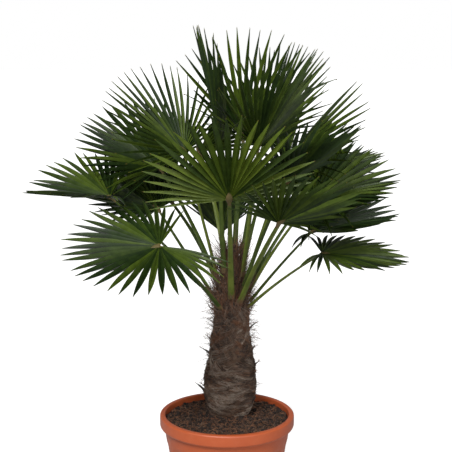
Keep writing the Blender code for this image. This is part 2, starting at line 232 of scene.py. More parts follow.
# Each frond as in the source, with the tone of its leaf, which is partly painted light: deep is a darker
# green with painted shade for fans in the crown's shade, light a paler green with painted light for the
# well-lit front fan, blue a bluish green with a painted sheen.
Frond = namedtuple("Frond", "name azimuth base_turn reach height turn pitch roll radius spread fold tone")
FRONDS = (
    Frond("front", 268, 0, 0.280, 1.020, 0, 58, 0, 0.275, 105, 5, "light"),
    Frond("low_left", 232, 0, 0.318, 0.892, -27, -8, -21, 0.270, 138, 3, "deep"),
    Frond("far_left", 183, 0, 0.352, 0.992, 0, 4, -12, 0.250, 110, 20, "deep"),
    Frond("front_right", 297, 0, 0.270, 0.952, 28, 30, -20, 0.245, 100, 8, "fresh"),
    Frond("far_right", 338, -4, 0.272, 0.844, 14, -4, 4, 0.250, 110, 4, "fresh"),
    Frond("low_right", 350, 6, 0.229, 0.894, 5, 12, 8, 0.265, 110, 12, "blue"),
    Frond("mid_left", 148, 10, 0.264, 0.934, 2, 26, -18, 0.265, 105, 14, "deep"),
    Frond("upper_left", 168, 0, 0.143, 1.117, 2, 52, -30, 0.305, 92, 8, "fresh"),
    Frond("top_back", 76, 6, 0.145, 1.155, 4, 76, 0, 0.335, 85, 8, "deep"),
    Frond("top_right", 320, 0, 0.094, 1.142, 25, 60, -25, 0.320, 88, 8, "fresh"),
    Frond("top_left", 229, 0, 0.053, 1.152, -40, 78, 0, 0.345, 75, 8, "deep"),
    Frond("upper_right", 26, -4, 0.183, 1.095, -18, 52, 30, 0.310, 95, 8, "fresh"),
    Frond("right_node", 318, -6, 0.209, 1.056, 17, 40, -15, 0.250, 100, 10, "blue"),
    Frond("right_out", 0, 14, 0.231, 0.981, 0, 16, 22, 0.270, 105, 14, "fresh"),
    Frond("right_back", 29, 4, 0.245, 0.964, -17, 28, 22, 0.275, 105, 12, "deep"),
    Frond("left_up", 144, -7, 0.270, 1.057, 14, 36, -25, 0.285, 100, 10, "deep"),
    Frond("back_left", 126, -8, 0.323, 0.939, 0, 35, -5, 0.270, 105, 10, "deep"),
    Frond("low_back", 96, -2, 0.300, 0.835, 0, 50, 0, 0.270, 70, 35, "deep"),
    Frond("behind_right", 48, 2, 0.350, 1.000, 0, 18, 0, 0.275, 105, 12, "fresh"),
    Frond("behind_low", 74, 0, 0.340, 0.950, 0, 15, 0, 0.270, 95, 14, "deep"),
    Frond("behind", 112, -8, 0.270, 1.100, 0, 45, 0, 0.290, 100, 8, "fresh"),
    Frond("behind_up", 55, 5, 0.180, 1.170, 0, 62, 0, 0.300, 92, 8, "deep"),
)


def spoke(azimuth, lean=90.0):
    """Unit direction at an azimuth, leaning from the vertical."""
    turn, tilt = math.radians(azimuth), math.radians(lean)
    return Vector((math.sin(tilt) * math.cos(turn), math.sin(tilt) * math.sin(turn), math.cos(tilt)))


def between(low, high, share):
    """The value at a share of the way from low to high."""
    return low + (high - low) * share


def smooth_step(share):
    """An eased share, level at both ends."""
    share = min(max(share, 0.0), 1.0)
    return share * share * (3.0 - 2.0 * share)


def trunk_axis(height):
    """Middle of the leaning trunk at a height."""
    return TRUNK_FOOT + TRUNK_LEAN * (height - SOIL_TOP)


def trunk_radius(height):
    """Radius of the trunk, read between its named heights."""
    low, low_radius = TRUNK_RADII[0]
    for high, high_radius in TRUNK_RADII[1:]:
        if height <= high:
            return between(low_radius, high_radius, (height - low) / (high - low))
        low, low_radius = high, high_radius
    return low_radius


class Shape:
    """Points and faces that grow into one mesh, each face with its material slot."""

    def __init__(self):
        self.points = []
        self.faces = []
        self.slots = []

    def loft(self, rings, slots):
        """Skin closed rings of points and cap both ends; one slot for each stretch."""
        first = len(self.points)
        count = len(rings[0])
        for ring in rings:
            self.points.extend(ring)
        for step in range(len(rings) - 1):
            low = first + step * count
            for side in range(count):
                beside = (side + 1) % count
                self.faces.append((low + side, low + beside, low + count + beside, low + count + side))
            self.slots.extend([slots[step]] * count)
        self.faces.append(tuple(range(first + count - 1, first - 1, -1)))
        last = first + (len(rings) - 1) * count
        self.faces.append(tuple(range(last, last + count)))
        self.slots.extend((slots[0], slots[-1]))

    def piece(self, name, materials, slot, replaced=(), crease=35.0):
        """Make the object, ride it on the body and hide the imported parts it replaces."""
        mesh = bpy.data.meshes.new(name)
        mesh.from_pydata(self.points, [], self.faces)
        mesh.polygons.foreach_set("material_index", self.slots)
        for finish in materials:
            mesh.materials.append(finish)
        mesh.shade_smooth()
        mesh.set_sharp_from_angle(angle=math.radians(crease))
        made = bpy.data.objects.new(name, mesh)
        bpy.context.scene.collection.objects.link(made)
        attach(made, "root")
        if replaced:
            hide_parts(*replaced)
        return made


class Nodes:
    """A short way to add and link a material's nodes."""

    def __init__(self, name):
        self.material = bpy.data.materials.new(name)
        self.material.use_nodes = True
        self.tree = self.material.node_tree
        self.shader = self.tree.nodes["Principled BSDF"]
        self.place = self.add("ShaderNodeTexCoord").outputs["Object"]

    def add(self, kind, **values):
        node = self.tree.nodes.new(kind)
        for key, value in values.items():
            if key in node.inputs.keys():
                node.inputs[key].default_value = value
            else:
                setattr(node, key, value)
        return node

    def link(self, start, end):
        self.tree.links.new(start, end)

    def stretched(self, stretch):
        """Object coordinates scaled unevenly."""
        mapping = self.add("ShaderNodeMapping")
        mapping.inputs["Scale"].default_value = stretch
        self.link(self.place, mapping.inputs["Vector"])
        return mapping.outputs["Vector"]

    def grain(self, scale, detail=4.0, stretch=None, rough=0.55):
        """A noise value in the object's own space."""
        node = self.add("ShaderNodeTexNoise", Scale=scale, Detail=detail, Roughness=rough)
        self.link(self.stretched(stretch) if stretch else self.place, node.inputs["Vector"])
        return node.outputs["Fac"]

    def ramp(self, value, stops):
        """Colours or greys along a value, as (place, colour) stops."""
        node = self.add("ShaderNodeValToRGB")
        band = node.color_ramp
        while len(band.elements) < len(stops):
            band.elements.new(0.5)
        for element, (place, colour) in zip(band.elements, stops):
            element.position = place
            element.color = (*colour, 1.0)
        self.link(value, node.inputs["Fac"])
        return node.outputs["Color"]

    def ranged(self, value, low, high):
        """A noise value spread over a range."""
        node = self.add("ShaderNodeMapRange")
        node.inputs["From Min"].default_value = NOISE_LOW
        node.inputs["From Max"].default_value = NOISE_HIGH
        node.inputs["To Min"].default_value = low
        node.inputs["To Max"].default_value = high
        self.link(value, node.inputs["Value"])
        return node.outputs["Result"]

    def blend(self, mask, under, over):
        """One colour over another through a mask."""
        node = self.add("ShaderNodeMix", data_type="RGBA")
        self.link(mask, node.inputs[0])
        self.link(under, node.inputs[6])
        self.link(over, node.inputs[7])
        return node.outputs[2]

    def colour(self, output):
        self.link(output, self.shader.inputs["Base Color"])

    def roughness(self, output):
        self.link(output, self.shader.inputs["Roughness"])

    def relief(self, height, strength, distance):
        bump = self.add("ShaderNodeBump", Strength=strength, Distance=distance)
        self.link(height, bump.inputs["Height"])
        self.link(bump.outputs["Normal"], self.shader.inputs["Normal"])


def leaf_finish(name, dark, light, gloss):
    """Leathery leaf: close greens in soft patches, with a waxy, uneven gloss."""
    made = Nodes(name)
    made.colour(made.ramp(made.grain(38.0, 5.0), [(0.34, dark), (0.66, light)]))
    made.roughness(made.ranged(made.grain(60.0), gloss - 0.06, gloss + 0.08))
    made.relief(made.grain(900.0, 2.0), 0.12, 0.0004)
    made.shader.inputs["Specular IOR Level"].default_value = 0.22
    return made.material


def fibre_finish(name, dark, light):
    """Dry brown fibre, paler and darker along its length."""
    made = Nodes(name)
    made.colour(made.ramp(made.grain(90.0, 6.0), [(0.30, dark), (0.70, light)]))
    made.roughness(made.ranged(made.grain(200.0), 0.72, 0.95))
    made.relief(made.grain(700.0, 3.0), 0.5, 0.0006)
    return made.material


def bark_finish():
    """The mat under the loose fibres: near black between strands, which is painted shade in the gaps, and
    grey-brown on them.
    """
    made = Nodes("bark_mat")
    strands = made.grain(46.0, 9.0, (1.0, 1.0, 5.0), 0.7)
    patches = made.grain(14.0, 4.0)
    # The low, near-black end of both ramps follows the relief's hollows between strands: painted shade.
    deep = made.ramp(strands, [(0.36, (0.012, 0.008, 0.006)), (0.62, (0.105, 0.070, 0.048))])
    red = made.ramp(strands, [(0.36, (0.016, 0.007, 0.004)), (0.62, (0.130, 0.062, 0.034))])
    made.colour(made.blend(made.ranged(patches, 0.0, 0.8), deep, red))
    made.roughness(made.ranged(made.grain(150.0), 0.8, 0.98))
    made.relief(strands, 0.9, 0.003)
    return made.material


def pot_finish():
    """Moulded plastic: orange-brown, faintly mottled, satin, with dry dust on it."""
    made = Nodes("pot_plastic")
    base = made.ramp(made.grain(9.0, 3.0), [(0.35, (0.395, 0.072, 0.018)), (0.65, (0.440, 0.087, 0.024))])
    dust = made.ramp(made.grain(55.0, 8.0), [(0.45, (0.41, 0.088, 0.028)), (0.75, (0.47, 0.140, 0.060))])
    made.colour(made.blend(made.ranged(made.grain(22.0, 6.0), 0.0, 0.35), base, dust))
    made.roughness(made.ranged(made.grain(45.0, 6.0), 0.34, 0.50))
    made.relief(made.grain(420.0, 3.0), 0.10, 0.0005)
    return made.material


def soil_finish(name, dark, light):
    """Moist compost, dark in its hollows."""
    made = Nodes(name)
    made.colour(made.ramp(made.grain(160.0, 8.0, None, 0.7), [(0.35, dark), (0.68, light)]))
    made.roughness(made.ranged(made.grain(120.0), 0.85, 1.0))
    made.relief(made.grain(380.0, 6.0), 0.9, 0.002)
    return made.material


LEAVES = {
    # Near-black green: a darker leaf tone, partly painted shade for the fans that sit in shade.
    "leaf_deep_and_painted_shade": leaf_finish("leaf_deep_and_painted_shade", (0.008, 0.019, 0.003), (0.016, 0.034, 0.004), 0.46),
    "leaf_mid": leaf_finish("leaf_mid", (0.016, 0.032, 0.003), (0.032, 0.056, 0.006), 0.48),
    "leaf_fresh": leaf_finish("leaf_fresh", (0.034, 0.058, 0.004), (0.058, 0.090, 0.008), 0.48),
    # Paler green: a lighter leaf tone, partly painted light for the well-lit front fan.
    "leaf_pale_and_painted_light": leaf_finish("leaf_pale_and_painted_light", (0.056, 0.088, 0.006), (0.092, 0.128, 0.012), 0.50),
    # Bluish green: partly the leaf's own tone, partly a painted bluish sheen.
    "leaf_bluish_and_painted_sheen": leaf_finish("leaf_bluish_and_painted_sheen", (0.016, 0.034, 0.010), (0.030, 0.052, 0.016), 0.42),
    "leaf_tip": leaf_finish("leaf_tip", (0.075, 0.080, 0.010), (0.150, 0.115, 0.020), 0.55),
    "leaf_heart": leaf_finish("leaf_heart", (0.10, 0.110, 0.020), (0.17, 0.130, 0.040), 0.55),
}
LEAF_SLOTS = list(LEAVES)
# For each fan's tone, the greens its segments take at random; the deep, light and blue tones lean on greens
# that are partly painted shade, painted light and a painted sheen.
TONES = {
    "deep": ("leaf_deep_and_painted_shade", "leaf_deep_and_painted_shade", "leaf_mid", "leaf_mid", "leaf_fresh"),
    "fresh": ("leaf_mid", "leaf_fresh", "leaf_mid", "leaf_fresh", "leaf_deep_and_painted_shade"),
    "light": ("leaf_fresh", "leaf_pale_and_painted_light", "leaf_fresh", "leaf_pale_and_painted_light", "leaf_mid"),
    "blue": ("leaf_bluish_and_painted_sheen", "leaf_bluish_and_painted_sheen", "leaf_mid", "leaf_deep_and_painted_shade", "leaf_bluish_and_painted_sheen"),
}
STALKS = [
    leaf_finish("stalk_green", (0.070, 0.100, 0.012), (0.115, 0.145, 0.022), 0.50),
    leaf_finish("stalk_tan", (0.085, 0.075, 0.025), (0.150, 0.105, 0.045), 0.60),
    # Darker stalk green for fans of the deep and blue tones, partly painted shade.
    leaf_finish("stalk_deep", (0.030, 0.052, 0.006), (0.058, 0.085, 0.012), 0.50),
]
FIBRES = [
    fibre_finish("fibre_dark", (0.020, 0.012, 0.008), (0.055, 0.032, 0.021)),
    fibre_finish("fibre_brown", (0.075, 0.044, 0.028), (0.150, 0.092, 0.060)),
    fibre_finish("fibre_red", (0.110, 0.045, 0.020), (0.220, 0.098, 0.048)),
    fibre_finish("fibre_grey", (0.150, 0.112, 0.085), (0.300, 0.235, 0.185)),
]
DARK, BROWN, RED, GREY = range(4)
STALK_GREEN, STALK_TAN, STALK_DEEP_AND_PAINTED_SHADE = range(3)
LOW_TUFT_TONES = (DARK, BROWN, GREY, GREY, BROWN)
HIGH_TUFT_TONES = (DARK, BROWN, RED, RED, GREY)


class Blade:
    """The directions of one fan."""

    def __init__(self, frond):
        self.middle = spoke(frond.azimuth + frond.turn, 90.0 - frond.pitch)
        level = UP.cross(self.middle).normalized()
        above = self.middle.cross(level)
        roll = math.radians(frond.roll)
        self.left = level * math.cos(roll) + above * math.sin(roll)
        self.above = self.middle.cross(self.left)
        self.fold = math.radians(frond.fold)

    def ray(self, angle):
        """Direction across the blade, whose halves fold up along its middle."""
        side = self.left * math.cos(self.fold) + self.above * math.copysign(math.sin(self.fold), angle)
        return self.middle * math.cos(angle) + side * math.sin(angle)

    def facing(self, angle):
        """Direction square to the blade's upper face."""
        return self.ray(angle - 0.01).cross(self.ray(angle + 0.01)).normalized()


def frond_lean(frond):
    """How far a whole frond leans from the vertical, in degrees."""
    return math.degrees(math.atan2(frond.reach, frond.height - YOUNG_BASE + BASE_DROP / 2))


def frond_hub(frond):
    """Where the segments of a fan meet."""
    crown = trunk_axis(YOUNG_BASE)
    return Vector((crown.x, crown.y, frond.height)) + spoke(frond.azimuth) * frond.reach


def stalk_base(frond):
    """Where the stalk leaves the trunk, and its direction there."""
    height = YOUNG_BASE - BASE_DROP * min(frond_lean(frond) / FULL_LEAN, 1.0)
    azimuth = frond.azimuth + frond.base_turn
    start = trunk_axis(height) + spoke(azimuth) * (trunk_radius(height) + STALK_OUT)
    return start, spoke(azimuth, frond_lean(frond) * LEAVE_SHARE)


def stalk_path(frond):
    """Points and directions of the stalk's arch, and its direction at the hub."""
    base, leaving = stalk_base(frond)
    hub = frond_hub(frond)
    chord = (hub - base).normalized()
    arriving = (2.0 * leaving.dot(chord) * chord - leaving).normalized()
    start = base + leaving * GAP
    end = hub - arriving * HUB_BACK
    pull = (end - start).length * STALK_PULL
    first, second = start + leaving * pull, end - arriving * pull
    path = []
    for step in range(STALK_STEPS):
        t = step / (STALK_STEPS - 1)
        s = 1.0 - t
        path.append(start * s**3 + first * (3 * s * s * t) + second * (3 * s * t * t) + end * t**3)
    return path, arriving


def drawn(rng, low, high, power=1.0):
    """A random value of a range, nearer its low end for a higher power."""
    return between(low, high, rng.random() ** power)


def jitter(rng, width):
    """A random value on both sides of nothing."""
    return width * (rng.random() - 0.5)


def segment_count(frond):
    """As many segments as every fan has, and more where it is spread wider."""
    return max(SEGMENTS, round(2.0 * frond.spread / WIDEST_SEGMENT))


# How a segment differs from its neighbours.
Nature = namedtuple("Nature", "long cut bend sway twist tone")


def segment_places(notch, length):
    """How far out each section is, with its share of the segment's free part."""
    joined = [(between(HEART, notch, step / JOINED_STEPS), 0.0) for step in range(JOINED_STEPS + 1)]
    free = [(between(notch, length, t), t) for t in FREE_STEPS]
    return [(HUB_RADIUS, 0.0)] + joined + free


def folded_ring(edge_right, keel, edge_left, arch, thick):
    """A closed section: two slightly arched halves that meet in a keel."""
    near, far = HALF_POINTS
    top = [between(edge_right, keel, share) + arch * rise for share, rise in (near, far)]
    top.append(keel)
    top += [between(edge_left, keel, share) + arch * rise for share, rise in (far, near)]
    above = [point + thick / 2 for point in top]
    below = [point - thick / 2 for point in reversed(top)]
    below[2] = keel - thick
    return [edge_right] + above + [edge_left] + below


def segment_rings(blade, frond, hub, index, nature, lift, share):
    """The sections of one folded segment, from the hub to its tip."""
    spread = math.radians(frond.spread)
    half = spread / segment_count(frond)
    angle = -spread + (2 * index + 1) * half
    middle, left, right = blade.ray(angle), blade.ray(angle + half), blade.ray(angle - half)
    up, up_left, up_right = blade.facing(angle), blade.facing(angle + half), blade.facing(angle - half)
    across = (left - right).normalized()
    length = frond.radius * (1.0 - SIDE_SHORTER * (angle / spread) ** 2) * nature.long
    notch = NOTCH * frond.radius * nature.cut
    length = between(notch, length, share)
    flat = (left - middle, right - middle, up_left, up_right, up)
    places = segment_places(notch, length)
    rings = []
    for along, t in places:
        joined = t == 0.0
        width = along if joined else notch * (1.0 + FREE_SWELL * t) * (1.0 - t**FREE_TAPER)
        width = max(width, (NARROWEST if t < 1.0 else NARROWEST / 2) / math.sin(half))
        depth = FOLD * width * math.sin(half) * (1.0 - FLATTER * t)
        centre = hub + middle * along
        centre += up * ((nature.bend + lift) * t * t * length) + across * (nature.sway * t * t * length)
        turn = Quaternion(middle, nature.twist * t)
        to_left, to_right, out_left, out_right, out = flat if joined else [turn @ way for way in flat]
        keel = centre - out * depth
        edge_left = centre + to_left * width + out_left * depth
        edge_right = centre + to_right * width + out_right * depth
        if t == 1.0:
            keel -= middle * TIP_SPLIT
        arch = out * (width * math.sin(half) * HALF_ARCH)
        rings.append(folded_ring(edge_right, keel, edge_left, arch, out * LEAF_THICKNESS))
    return rings, [t for _, t in places]


def ring_faces(rings):
    """Points and faces of a skin, for a search tree."""
    points = [point for ring in rings for point in ring]
    count = len(rings[0])
    faces = []
    for step in range(len(rings) - 1):
        low = step * count
        for side in range(count):
            beside = (side + 1) % count
            faces.append((low + side, low + beside, low + count + beside, low + count + side))
    return points, faces


def segment_slot(tone, along, step):
    """The material slot of one stretch of a segment."""
    if step == 0:
        return LEAF_SLOTS.index("leaf_heart")
    if along >= TIP_STARTS:
        return LEAF_SLOTS.index("leaf_tip")
    return LEAF_SLOTS.index(tone)


def grow_fan(frond, rng, trees, shape):
    """Add one fan's segments to a shape, each bent or shortened clear of the fans before it."""
    blade = Blade(frond)
    hub = frond_hub(frond)
    own = Shape()
    count = segment_count(frond)
    deeper = UPRIGHT_CUT if frond.reach < UPRIGHT_REACH else 1.0
    for index in range(count):
        side = abs((2 * index + 1) / count - 1.0)
        nature = Nature(
            long=1.0 - LENGTH_SPREAD * rng.random(),
            cut=(CUT + jitter(rng, CUT_SPREAD) - SIDE_CUT * side**3) * deeper,
            bend=jitter(rng, BEND_SPREAD) - SIDE_DROOP * side**4,
            sway=jitter(rng, SWAY_SPREAD),
            twist=jitter(rng, TWIST_SPREAD),
            tone=rng.choice(TONES[frond.tone]),
        )
        for share, lift in product(SHARES, LIFTS):
            rings, places = segment_rings(blade, frond, hub, index, nature, lift, share)
            slab = BVHTree.FromPolygons(*ring_faces(rings))
            if not any(slab.overlap(tree) for tree in trees):
                break
        else:
            continue
        own.loft(rings, [segment_slot(nature.tone, places[step], step) for step in range(len(rings) - 1)])
    trees.append(BVHTree.FromPolygons(own.points, own.faces))
    first = len(shape.points)
    shape.points.extend(own.points)
    shape.faces.extend(tuple(first + corner for corner in face) for face in own.faces)
    shape.slots.extend(own.slots)


def stalk_rings(frond):
    """The flattened stalk: flat above, round below, narrower towards the hub."""
    path, _ = stalk_path(frond)
    side = spoke(frond.azimuth + frond.base_turn + 90.0)
    rings = []
    for step, point in enumerate(path):
        ahead = path[min(step + 1, STALK_STEPS - 1)] - path[max(step - 1, 0)]
        across = (side - ahead.normalized() * side.dot(ahead.normalized())).normalized()
        above = ahead.normalized().cross(across)
        if above.dot(UP) < 0.0:
            above = -above
        share = (step / (STALK_STEPS - 1)) ** STALK_NARROWS
        wide = between(*STALK_WIDE, share)
        thick = between(*STALK_THICK, share)
        ring = []
        for angle in angles(STALK_SIDES):
            height = math.sin(angle)
            if height > 0.0:
                height *= STALK_FLAT
            ring.append(point + across * (wide * math.cos(angle)) + above * (thick * height))
        rings.append(ring)
    return rings


def grow_stalk(frond, shape):
    """Add a stalk, tan at both ends."""
    # Stalks of fans with the deep or blue tone take the darker green, partly painted shade.
    tone = STALK_GREEN if frond.tone in ("light", "fresh") else STALK_DEEP_AND_PAINTED_SHADE
    tan_ends = [step < 1 or step > STALK_STEPS - 3 for step in range(STALK_STEPS - 1)]
    shape.loft(stalk_rings(frond), [STALK_TAN if tan else tone for tan in tan_ends])


def grow_hastula(frond, shape):
    """The small tan knob where the stalk meets the fan."""
    blade = Blade(frond)
    hub = frond_hub(frond)
    _, arriving = stalk_path(frond)
    rings = []
    for along, size in KNOB:
        centre = hub + (blade.middle if along > 0 else arriving) * along
        ring = []
        for angle in angles(STALK_SIDES):
            aside = blade.left * (size * math.cos(angle))
            ring.append(centre + aside + blade.above * (size * KNOB_FLAT * math.sin(angle)))
        rings.append(ring)
    shape.loft(rings, [STALK_TAN] * (len(rings) - 1))


def strand(shape, points, thickness, slot):
    """A thin three-sided strand along points, tapering to its end."""
    rings = []
    last = len(points) - 1
    for step, point in enumerate(points):
        ahead = (points[min(step + 1, last)] - points[max(step - 1, 0)]).normalized()
        side = ahead.cross(UP)
        if side.length < UPRIGHT_STRAND:
            side = ahead.cross(Vector((1.0, 0.0, 0.0)))
        side.normalize()
        above = side.cross(ahead)
        size = thickness * (1.0 - STRAND_TAPER * (step / last) ** 2)
        ring = []
        for angle in angles(STRAND_SIDES):
            ring.append(point + side * (size * math.cos(angle)) + above * (size * math.sin(angle)))
        rings.append(ring)
    shape.loft(rings, [slot] * last)


def trunk_surface(height, azimuth, out=0.0):
    """A point on the trunk's fibrous skin, which is smoother towards its top."""
    radius = trunk_radius(height)
    place = trunk_axis(height)
    way = spoke(azimuth)
    swell = noise.noise(Vector((way.x * 3.0, way.y * 3.0, height * 16.0))) * BARK_SWELL
    swirl = azimuth / 60.0 + height * 22.0
    ridge = abs(noise.noise(Vector((math.cos(swirl) * 2.0, math.sin(swirl) * 2.0, height * 60.0))))
    fine = noise.noise(Vector((way.x * 14.0, way.y * 14.0, height * 130.0)))
    fade = smooth_step((BARK_FADES - height) / BARK_FADE_DEPTH) * 0.7 + 0.3
    relief = BARK_RIDGE * ridge * fade
    return place + way * (radius * (1.0 + swell * fade) + relief + BARK_GRAIN * fine + out)


def make_trunk():
    """The mat of leaf-base fibre round the trunk, in relief."""
    shape = Shape()
    low, high = SOIL_TOP + GAP, TRUNK_RADII[-1][0]
    rings = []
    for row in range(TRUNK_ROWS + 1):
        height = between(low, high, row / TRUNK_ROWS)
        ring = [trunk_surface(height, 360.0 * column / TRUNK_COLUMNS) for column in range(TRUNK_COLUMNS)]
        rings.append(ring)
    shape.loft(rings, [0] * TRUNK_ROWS)
    shape.piece("trunk_mat", [bark_finish()], "fibrous_bark", ["trunk"], 60.0)


def wrapping_tuft(shape, rng, height, low):
    """A tuft of strands that lie side by side round the trunk; lower ones sag, upper ones climb."""
    azimuth = 360.0 * rng.random()
    climb = rng.choice((-1, 1)) * between(*TUFT_CLIMB, low) * drawn(rng, 0.3, 1.3)
    length = drawn(rng, *TUFT_LENGTH)
    sag = drawn(rng, 0.0, TUFT_SAG) * low
    slot = rng.choice(LOW_TUFT_TONES if low > LOW_TUFT else HIGH_TUFT_TONES)
    loft = drawn(rng, 0.0, TUFT_LOFT)
    run, rise = length / math.hypot(1.0, climb), length * climb / math.hypot(1.0, climb)
    for _ in range(TUFT_STRANDS):
        start = height + jitter(rng, TUFT_TALL)
        turn = azimuth + jitter(rng, TUFT_WIDE)
        grow = drawn(rng, 0.6, 1.1)
        wave = rng.random() * 6.3
        points = []
        for step in range(6):
            share = step / 5 * grow
            ripple = TUFT_RIPPLE * math.sin(9.0 * share + wave)
            where = start + rise * share - sag * math.sin(math.pi * share) + ripple
            where = min(max(where, TUFT_LOWEST), TUFT_HIGHEST)
            around = math.degrees(run * share / max(trunk_radius(where), 0.02))
            lift = loft + 0.0006 + 0.004 * share**3 * rng.random()
            points.append(trunk_surface(where, turn + around, lift))
        tint = slot if rng.random() < TUFT_EVEN else rng.choice((DARK, BROWN, RED, GREY))
        strand(shape, points, drawn(rng, *TUFT_THICK), tint)


def loose_hair(shape, rng, height, length, rise, thickness):
    """A hair that leaves the trunk, rises a little and curls down."""
    azimuth = 360.0 * rng.random()
    start = trunk_surface(height, azimuth)
    way = spoke(azimuth + drawn(rng, -45, 45), rise)
    curl = spoke(azimuth + 90.0) * drawn(rng, -0.5, 0.5)
    drop = drawn(rng, 0.1, 0.9)
    points = []
    for step in range(8):
        share = step / 7
        points.append(start + (way * share + curl * share**2 - UP * (drop * share**2)) * length)
    strand(shape, points, thickness, rng.choice((DARK, BROWN, RED, GREY, BROWN)))


def rising_hair(shape, rng):
    """A hair that stands up among the stalks."""
    height = drawn(rng, 0.63, 0.82)
    azimuth = 360.0 * rng.random()
    start = trunk_surface(height, azimuth)
    way = spoke(azimuth + drawn(rng, -30, 30), drawn(rng, 2, 36))
    length = drawn(rng, 0.03, 0.10)
    curl = spoke(azimuth + 90.0) * drawn(rng, -0.5, 0.5)
    points = [start + (way * step / 6 + curl * (step / 6) ** 2) * length for step in range(7)]
    strand(shape, points, drawn(rng, 0.0003, 0.0009), rng.choice((DARK, BROWN, RED, RED, BROWN)))


def make_fibres(rng):
    """Strands that wrap the trunk, stand off it and rise among the stalks."""
    for name, low_end, high_end in (("fibre_mat_low", 0.335, 0.54), ("fibre_mat_high", 0.50, 0.80)):
        mat = Shape()
        for _ in range(TUFTS):
            height = drawn(rng, low_end, high_end)
            wrapping_tuft(mat, rng, height, smooth_step((0.62 - height) / 0.18))
        mat.piece(name, FIBRES, "fibrous_bark")

    loose = Shape()
    for _ in range(SHORT_HAIRS):
        height = drawn(rng, 0.34, 0.78, 0.7)
        length = drawn(rng, 0.010, 0.052, 2)
        thickness = drawn(rng, 0.00022, 0.0005)
        loose_hair(loose, rng, height, length, drawn(rng, 30, 100), thickness)
    for _ in range(LONG_HAIRS):
        height = drawn(rng, 0.48, 0.74, 0.6)
        length = drawn(rng, 0.040, 0.085)
        thickness = drawn(rng, 0.0003, 0.0006)
        loose_hair(loose, rng, height, length, drawn(rng, 30, 75), thickness)
    for _ in range(RISING_HAIRS):
        rising_hair(loose, rng)
    loose.piece("loose_fibres", FIBRES, "fibrous_bark")


def boot_rings(rng, index):
    """The sections of one old leaf base, with its outward and sideways directions."""
    share_up = index / (BOOTS - 1)
    height = between(OLD_BASE_LOW - 0.012, OLD_BASE_HIGH + 0.03, share_up) + jitter(rng, 0.012)
    azimuth = OLD_BASE_START + GOLDEN_ANGLE * index / 2 + 180.0 * (index % 2)
    out, side = spoke(azimuth), spoke(azimuth + 90.0)
    tall = drawn(rng, *BOOT_TALL)
    stand = drawn(rng, *BOOT_STAND)
    curl = drawn(rng, -BOOT_CURL, BOOT_CURL)
    wide = drawn(rng, *BOOT_WIDE)
    rings = []
    for step in range(BOOT_STEPS + 1):
        share = step / BOOT_STEPS
        where = height + tall * (share - 0.15 * share**3)
        off = -BOOT_ROOT + (stand + BOOT_ROOT) * share**1.6
        centre = trunk_axis(where) + out * (trunk_radius(where) * 1.02 + off)
        centre += side * (curl * tall * share**2)
        half = wide * (1.0 - share**2.5) + 0.0012
        thick = BOOT_THICK * (1.0 - 0.75 * share)
        ring = []
        for angle in angles(10):
            rough = 1.0 + jitter(rng, BOOT_ROUGH)
            aside = side * (half * math.cos(angle) * rough)
            outward = thick * math.sin(angle) * rough - abs(math.cos(angle)) * half * BOOT_HOLLOW
            ring.append(centre + aside + out * outward)
        rings.append(ring)
    return rings, out, side


def make_boots(rng):
    """Old leaf bases: flat, frayed stubs that stand off the trunk and curl at their tips."""
    shape = Shape()
    for index in range(BOOTS):
        rings, out, side = boot_rings(rng, index)
        shape.loft(rings, [rng.choice((DARK, DARK, BROWN))] * BOOT_STEPS)
        for _ in range(BOOT_FRAYS):
            start = rng.choice(rings[rng.randrange(3, BOOT_STEPS + 1)])
            way = out * rng.random()
            way += side * (rng.random() - 0.5) * 1.6
            way += UP * rng.random() * 1.4
            way.normalize()
            length = drawn(rng, 0.006, 0.022)
            drop = UP * (0.5 * rng.random())
            points = [start + (way * step / 4 - drop * (step / 4) ** 2) * length for step in range(5)]
            strand(shape, points, drawn(rng, 0.0002, 0.0005), rng.choice((DARK, BROWN, RED)))
    shape.piece("old_leaf_bases", FIBRES, "fibrous_bark")


def soil_height(x, y):
    """Height of the crumbly soil, which rises to the trunk's foot."""
    away = (Vector((x, y)) - TRUNK_FOOT.xy).length
    mound = MOUND * math.exp(-(((away - MOUND_FLAT) / MOUND_SPREAD) ** 2)) if away > MOUND_FLAT else MOUND
    rough = noise.noise(Vector((x * 38.0, y * 38.0, 1.0)))
    rough += 0.6 * noise.noise(Vector((x * 95.0, y * 95.0, 5.0)))
    rough += 0.45 * noise.noise(Vector((x * 230.0, y * 230.0, 9.0)))
    return SOIL_TOP - SOIL_SETTLED + mound + SOIL_ROUGH * rough


def wall_radius(height):
    """Outer radius of the pot's wall, below the collar."""
    return between(BASE_RADIUS, COLLAR_RADIUS, min(height, COLLAR) / COLLAR)


def scattered(rng, brim, share):
    """A random place on the soil, within a share of its radius."""
    spot = brim * math.sqrt(rng.random()) * share
    angle = 2.0 * math.pi * rng.random()
    return spot * math.cos(angle), spot * math.sin(angle)


def crumb(shape, rng, brim):
    """A rough lump of compost that lies on the soil."""
    x, y = scattered(rng, brim, 0.985)
    size = drawn(rng, *CRUMB_SIZE, 2.5)
    centre = Vector((x, y, soil_height(x, y) + size * 0.4))
    axis = Vector((rng.random(), rng.random(), rng.random() + 0.1)).normalized()
    turn = Quaternion(axis, 6.3 * rng.random())
    long, wide, high = (rng.random() * 0.8 + 0.6, rng.random() * 0.8 + 0.6, rng.random() * 0.6 + 0.4)
    rings = []
    for height, reach in CRUMB_PROFILE:
        ring = []
        for corner in range(6):
            way = math.pi * corner / 3
            grow = reach * (0.8 + 0.4 * rng.random())
            point = Vector((grow * math.cos(way) * long, grow * math.sin(way) * wide, height * high))
            ring.append(centre + turn @ (point * size))
        rings.append(ring)
    shape.loft(rings, [rng.choice((0, 0, 0, 1, 1, 2))] * (len(CRUMB_PROFILE) - 1))


